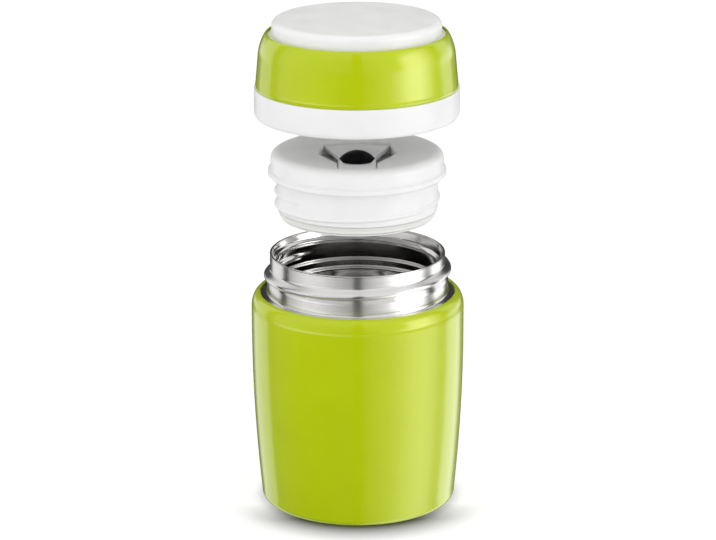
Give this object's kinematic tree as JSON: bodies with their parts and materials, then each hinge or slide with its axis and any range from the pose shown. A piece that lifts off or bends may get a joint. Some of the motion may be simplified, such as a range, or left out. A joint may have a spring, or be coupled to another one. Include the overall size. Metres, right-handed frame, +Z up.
{
  "type": "insulated food jar",
  "caption": "Double-walled steel food jar with a vented screw stopper and a screw lid, shown unscrewed and raised one above the other.",
  "frame": {"origin": "middle of the jar's foot ring, on the table", "axes": "+Z up along the jar's axis; -Y is the front, where the vent's press tab points; +X to the right seen from the front"},
  "size_m": [0.0962, 0.0962, 0.2237],
  "materials": {
    "green_lacquer": "glossy lime green lacquer",
    "neck_steel": "turned satin stainless steel",
    "flask_steel": "electropolished stainless steel",
    "base_steel": "satin stainless steel",
    "white_plastic": "satin white polypropylene",
    "white_silicone": "translucent white silicone",
    "black_silicone": "satin black silicone",
    "foam": "rigid insulating foam",
    "spring_steel": "drawn stainless wire",
    "seal_glass": "dark sealing glass",
    "getter_metal": "dull pressed metal"
  },
  "bodies": {
    "jar": {"outer_shell": "green_lacquer", "threaded_neck": "neck_steel", "inner_flask": "flask_steel", "base_plate": "base_steel", "port_seal": "seal_glass", "base_cover": "base_steel", "getter": "getter_metal"},
    "seal_ring": {"stopper_seal": "white_silicone"},
    "stopper": {"stopper_body": "white_plastic", "stopper_cap": "white_plastic", "stopper_foam": "foam", "vent_pin": "spring_steel", "vent_spring": "spring_steel"},
    "lever": {"vent_lever": "white_plastic", "vent_button": "black_silicone"},
    "valve": {"vent_stem": "white_plastic", "valve_washer": "white_silicone", "vent_clip": "spring_steel"},
    "lid_core": {"lid_insulation": "foam"},
    "lid": {"lid_liner": "white_plastic", "lid_band": "green_lacquer", "lid_top_cap": "white_plastic"}
  },
  "joints": [
    {"name": "stopper_lift", "type": "slide", "parent": "jar", "child": "seal_ring", "axis": [0, 0, 1], "range_m": [-0.036, 0]},
    {"name": "stopper_turn", "type": "hinge", "parent": "seal_ring", "child": "stopper", "pos_m": [0, 0, 0.1427], "axis": [0, 0, 1], "range_deg": [-2160, 0]},
    {"name": "lid_lift", "type": "slide", "parent": "stopper", "child": "lid_core", "axis": [0, 0, 1], "range_m": [-0.045, 0]},
    {"name": "lid_turn", "type": "hinge", "parent": "lid_core", "child": "lid", "pos_m": [0, 0, 0.2], "axis": [0, 0, 1], "range_deg": [-2700, 0]},
    {"name": "vent_press", "type": "hinge", "parent": "stopper", "child": "lever", "pos_m": [0, 0.007, 0.1599], "axis": [1, 0, 0], "range_deg": [0, 3.5], "stiffness_Nm_per_rad": 0.2, "springref_deg": -5.73},
    {"name": "valve_travel", "type": "slide", "parent": "stopper", "child": "valve", "axis": [0, 0, -1], "range_m": [0, 0.0012], "deforming": ["vent_spring"]}
  ],
  "couplings": [
    {"joint": "stopper_lift", "follows": "stopper_turn", "m_per_rad": 0.00095493},
    {"joint": "lid_lift", "follows": "lid_turn", "m_per_rad": 0.00095493},
    {"joint": "valve_travel", "follows": "vent_press", "m_per_rad": 0.0192}
  ]
}
